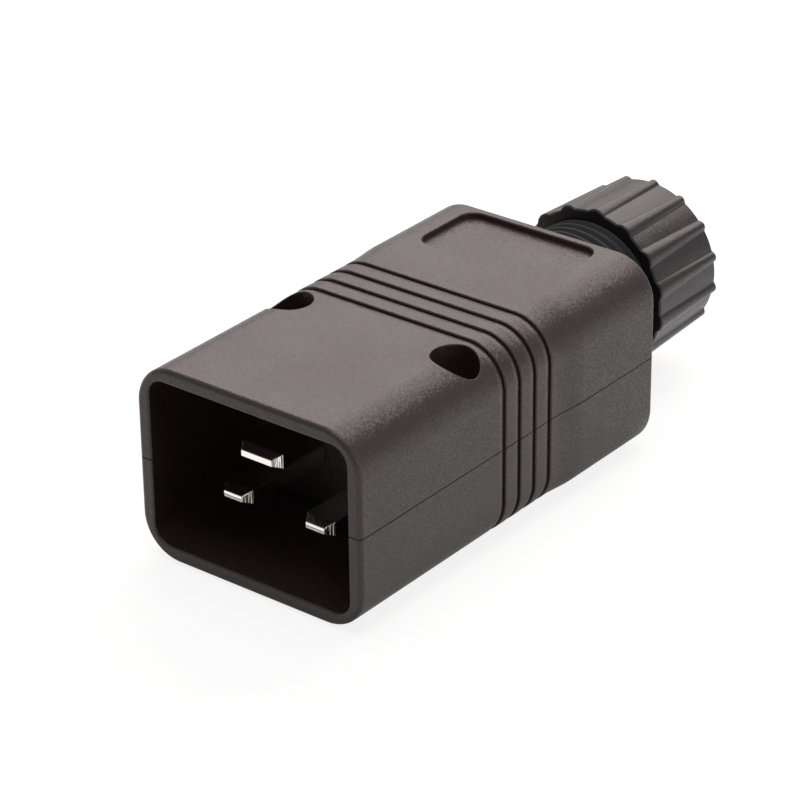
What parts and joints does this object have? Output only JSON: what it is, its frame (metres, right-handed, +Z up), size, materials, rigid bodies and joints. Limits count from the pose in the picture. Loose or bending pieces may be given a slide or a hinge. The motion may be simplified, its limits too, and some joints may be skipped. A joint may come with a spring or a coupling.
{
  "type": "rewireable iec plug",
  "caption": "Rewireable mains plug: rectangular shroud around flat blades, grip grooves round the body, and a ribbed nut on a screw gland that clamps the cord.",
  "frame": {"origin": "middle of the part's footprint, on the face that it lies on", "axes": "+X to the right seen from the mating face, +Y from the mating face towards the cord gland, +Z up with the earth blade uppermost"},
  "size_m": [0.033, 0.0788, 0.025],
  "materials": {
    "housing_plastic": "fine spark-eroded grain",
    "carrier_plastic": "plain moulded",
    "plated_blade": "nickel plated, sheared edges",
    "screw_steel": "zinc plated",
    "plate_steel": "zinc plated",
    "gland_plastic": "plain moulded, satin",
    "bush_rubber": "moulded rubber",
    "nut_plastic": "satin moulded"
  },
  "bodies": {
    "plug": {"upper_shell": "housing_plastic", "lower_shell": "housing_plastic", "pin_carrier": "carrier_plastic", "line_pin": "plated_blade", "neutral_pin": "plated_blade", "earth_pin": "plated_blade", "line_clamp_screw": "screw_steel", "neutral_clamp_screw": "screw_steel", "earth_clamp_screw": "screw_steel", "left_housing_screw": "screw_steel", "right_housing_screw": "screw_steel", "line_clamp_plate": "plate_steel", "neutral_clamp_plate": "plate_steel", "earth_clamp_plate": "plate_steel", "gland_body": "gland_plastic", "gland_claw": "gland_plastic", "gland_seal": "bush_rubber"},
    "slip_ring": {"gland_slip_ring": "gland_plastic"},
    "nut": {"gland_nut": "nut_plastic"}
  },
  "joints": [
    {"name": "nut_travel", "type": "slide", "parent": "plug", "child": "slip_ring", "axis": [0, 1, 0], "range_m": [-0.00423, 0.00211]},
    {"name": "nut_turn", "type": "hinge", "parent": "slip_ring", "child": "nut", "pos_m": [0, 0.0328, 0.0128], "axis": [0, 1, 0], "range_deg": [-1080, 540]}
  ],
  "couplings": [
    {"joint": "nut_travel", "follows": "nut_turn", "m_per_rad": 0.0002244}
  ]
}
